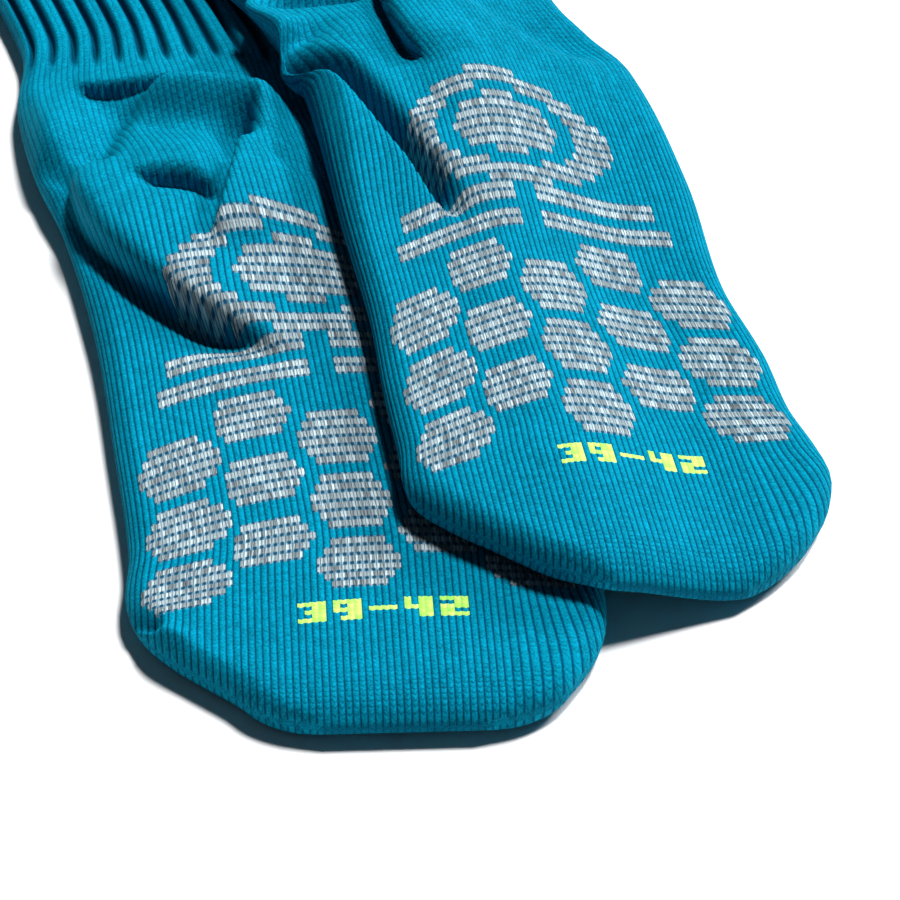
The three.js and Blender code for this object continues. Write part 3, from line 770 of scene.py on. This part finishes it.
    shows = maths(tree, "MULTIPLY", between(tree, row_edge, *TEAL_DOTS["rows"]), shows)
    arm_gap_shade = between(tree, edge(wale, 0.5), *ARM_GROOVE["edge"])
    arm_gap_shade = maths(tree, "MULTIPLY", arm_gap_shade, ARM_GROOVE["painted_shade"])
    grey = blended(tree, arm_gap_shade, ramp.outputs["Color"], MELANGE[0][1])
    # The teal seen through the pads: its own colour, darkened by painted shade at the wale grooves.
    seen_teal = blended(tree, dots, RIDGE_TEAL, GROOVE_SHADE_TEAL)
    grey_yarn = blended(tree, shows, grey, seen_teal)

    # Neon: each stitch is a little paler or greener than the next, and painted shade darkens it a
    # little in the grooves.
    pale = maths(tree, "MULTIPLY", stitch_tone, NEON_TONES["stitch"])
    neon = blended(tree, pale, NEON_YARN, NEON_PALE)
    neon_shade = maths(tree, "MULTIPLY", painted_shade, NEON_TONES["groove"])
    neon_yarn = blended(tree, neon_shade, neon, GROOVE_SHADE_TEAL)
    is_grey = maths(tree, "GREATER_THAN", yarn, (TEAL + GREY) / 2)
    is_neon = maths(tree, "GREATER_THAN", yarn, (GREY + NEON) / 2)
    colour = blended(tree, is_grey, teal_yarn, grey_yarn)
    colour = blended(tree, is_neon, colour, neon_yarn)

    row_round = maths(tree, "SUBTRACT", 1.0, maths(tree, "POWER", course_edge, 2.0))
    row_amount = maths(tree, "MULTIPLY", rows_show, ROW_BUMP["more"])
    row_amount = maths(tree, "ADD", row_amount, ROW_BUMP["share"])
    height = maths(tree, "MULTIPLY", row_round, row_amount)
    height = maths(tree, "ADD", height, maths(tree, "MULTIPLY", fibre_tone, FIBRE_BUMP))
    bump_set = {"Height": height, "Strength": 1.0, "Distance": BUMP_DEPTH}
    finish = {
        "Base Color": colour,
        "Normal": node(tree, "ShaderNodeBump", bump_set).outputs["Normal"],
        "Roughness": 0.82,
        "Sheen Weight": 0.12,
        "Sheen Roughness": 0.5,
        "Sheen Tint": (0.0, 0.7, 0.9, 1),
        "Specular IOR Level": 0.02,
    }
    shader = node(tree, "ShaderNodeBsdfPrincipled", finish)
    node(tree, "ShaderNodeOutputMaterial", {"Surface": shader.outputs["BSDF"]})
    return material


KNIT = knit_material()

lower = sock_skin("lower_sock", LOWER)
lower.data.materials.append(KNIT)
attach(lower, "root")
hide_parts("sock_lower")

# The upper sock: the same knit, laid half on the lower one. Its sole side has gathered in folds
# round the heel pocket, and its toe hangs a little over the lower sock's.
LAYER_GAP = 0.5
SLOPE_RUN = 34
OVERHANG = 10
STATION_STEP = 10
STATION_WALKS = 4
UPPER_SECTIONS = np.array([
    (0, 43.8, -47.6, 15, 13, 10),
    (2, 44, -45.5, 15, 17.5, 10),
    (4, 44, -43.4, 15, 21.2, 10),
    (8, 43, -39.6, 15, 26.9, 10.5),
    (12, 42, -35.7, 15, 30.9, 10.5),
    (16, 40.8, -31.7, 15, 34.6, 10.5),
    (24, 37, -24.7, 15, 40, 10.5),
    (31, 33, -18.4, 15, 42.3, 10.5),
    (44, 29.3, -5.9, 15, 41, 10.5),
    (60, 26, 9.8, 15, 40.6, 10.5),
    (83, 20.6, 32.1, 15.5, 38.6, 10.5),
    (115, 14.5, 64, 17, 39.8, 10.5),
    (150, 6.1, 98, 20, 38.8, 11.5),
    (165, -0.5, 111.8, 22, 36.2, 12),
    (175, -5.2, 120.8, 23, 35, 12),
    (200, -15.5, 143.5, 24, 36, 11),
    (225, -26.5, 166, 25, 38, 8.5),
    (280, -50.5, 215.5, 25.5, 40, 8),
    (360, -85, 287.7, 25, 45, 8),
    (440, -118.5, 360.4, 24, 50, 8),
    (520, -150, 434, 22, 49, 8),
    (590, -175, 499.4, 21.5, 45, 8),
], SECTION_COLUMNS)
UPPER_SWELLS = np.array([
    (3, 150, 28, 36, 7.5),
    (-35, 176, 8, 13, 3.5),
    (-37, 128, 7, 34, 3),
    (-22, 166, 9, 8, 2),
    (14, 192, 22, 20, 4),
], SWELL_COLUMNS)
UPPER_FOLDS = np.array([
    (-34.6, 172, -28.6, 140, -13.6, 98.5, 3, 1.8, -11, 0),
    (-28.5, 168, -22.8, 140, -9.5, 100.5, 5, 2.6, 2.4, 0.5),
    (-38.5, 170, -32.6, 141, -17.5, 100, 1.8, 9, 2.8, -2),
    (-3.3, 191, -11.6, 166, -12.4, 147, 1.6, 4.5, -4.4, 0),
    (-1.8, 191, -10.1, 166, -10.9, 146, 12, 1.8, 4.2, 3.6),
    (-43, 159.5, -34.2, 165, -22.5, 176, 1.8, 4, -4.5, 0),
    (-44, 162.5, -36, 167, -24.5, 178.5, 8, 2.2, 2.5, 2),
    (-32.5, 196, -33.5, 176, -36, 154, 9, 9, 0, 8),
    (-30, 190, -20.4, 185, -12, 180, 2.5, 3, -5, 0),
    (-6, 186, 14, 169, 36, 152, 8, 6, -3.5, 0),
    (-4, 178, 14, 158, 32, 141, 6, 7, 2.5, 0),
], FOLD_COLUMNS)


def on_sock(rows, x, y):
    """Where a plan place lies on a sock: from the nearest of the stations along the middle line,
    walked along by what is left of the way, until it is straight across from the middle."""
    stations = np.arange(0.0, SOCK_LENGTH + 1, STATION_STEP)
    far_x = column(rows, "x", stations)[:, None] - x.ravel()
    far_y = column(rows, "y", stations)[:, None] - y.ravel()
    along = stations[np.argmin(np.hypot(far_x, far_y), axis=0)].reshape(x.shape)
    for _ in range(STATION_WALKS):
        turn = np.radians(column(rows, "turn", along))
        off_x, off_y = x - column(rows, "x", along), y - column(rows, "y", along)
        along = along - off_x * np.sin(turn) + off_y * np.cos(turn)
    turn = np.radians(column(rows, "turn", along))
    off_x, off_y = x - column(rows, "x", along), y - column(rows, "y", along)
    return off_x * np.cos(turn) + off_y * np.sin(turn), along


def lower_top(x, y):
    """The height of the lower sock's upper cloth under a place, with the gap between them, eased
    down to the table past its right edge and past its two ends."""
    across, along = on_sock(LOWER_SECTIONS, x, y)
    s = np.clip(along, 0, SOCK_LENGTH)
    ribs = RIBS["depth"] * ease((s - RIBS["start"]) / RIBS["fade"])
    thick = thickness(LOWER_SECTIONS, np.maximum(s, TOE_ROUNDING)) + ribs
    half = column(LOWER_SECTIONS, "half", s)
    top = thick + lift(LOWER, np.minimum(across, half), s)
    past = across - (half - thick / 2)
    beyond = np.maximum(-along, along - SOCK_LENGTH)
    sunk = ease((beyond - OVERHANG) / SLOPE_RUN)
    return (top + LAYER_GAP) * (1 - ease(past / SLOPE_RUN)) * (1 - sunk)


UPPER = {
    "rows": UPPER_SECTIONS,
    "swells": UPPER_SWELLS,
    "folds": UPPER_FOLDS,
    "open_to": lambda across: 1.0,
    "floor": lower_top,
    "bow_middle": 2,
    "wale_lean": 0.08,
    "mark_course": 28,
}

upper = sock_skin("upper_sock", UPPER)
upper.data.materials.append(KNIT)
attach(upper, "root")
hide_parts("sock_upper")

# The table and the light: a plain white table, a large lamp high at the back on the right that
# throws short dense shadows to the front left, and a soft even fill. Each lamp has its strength,
# and its spread and its two tilts in degrees.
TABLE_REACH = 3.0
LAMPS = [
    ("high_lamp", 4.1, 10.0, (-13.0, 17.0)),
    ("low_lamp", 2.6, 16.0, (-32.0, 50.0)),
]
FILL = {"colour": (0.8, 0.92, 1.0, 1), "strength": 0.032}

corners = np.array([(-1, -1, 0), (1, -1, 0), (1, 1, 0), (-1, 1, 0)]) * TABLE_REACH
table_mesh = bpy.data.meshes.new("table")
table_mesh.from_pydata(corners, [], [(0, 1, 2, 3)])
table = bpy.data.objects.new("table", table_mesh)
bpy.context.scene.collection.objects.link(table)
white = bpy.data.materials.new("white_sweep")
white.use_nodes = True
white.node_tree.nodes["Principled BSDF"].inputs["Base Color"].default_value = (0.9, 0.9, 0.9, 1)
white.node_tree.nodes["Principled BSDF"].inputs["Roughness"].default_value = 0.9
table.data.materials.append(white)

for name, strength, spread, tilt in LAMPS:
    lamp = bpy.data.objects.new(name, bpy.data.lights.new(name, "SUN"))
    lamp.data.energy = strength
    lamp.data.angle = math.radians(spread)
    lamp.rotation_euler = (math.radians(tilt[0]), math.radians(tilt[1]), 0)
    bpy.context.scene.collection.objects.link(lamp)
room = bpy.data.worlds.new("room")
room.use_nodes = True
room.node_tree.nodes["Background"].inputs["Color"].default_value = FILL["colour"]
room.node_tree.nodes["Background"].inputs["Strength"].default_value = FILL["strength"]
bpy.context.scene.world = room
bpy.context.scene.view_settings.view_transform = "Standard"
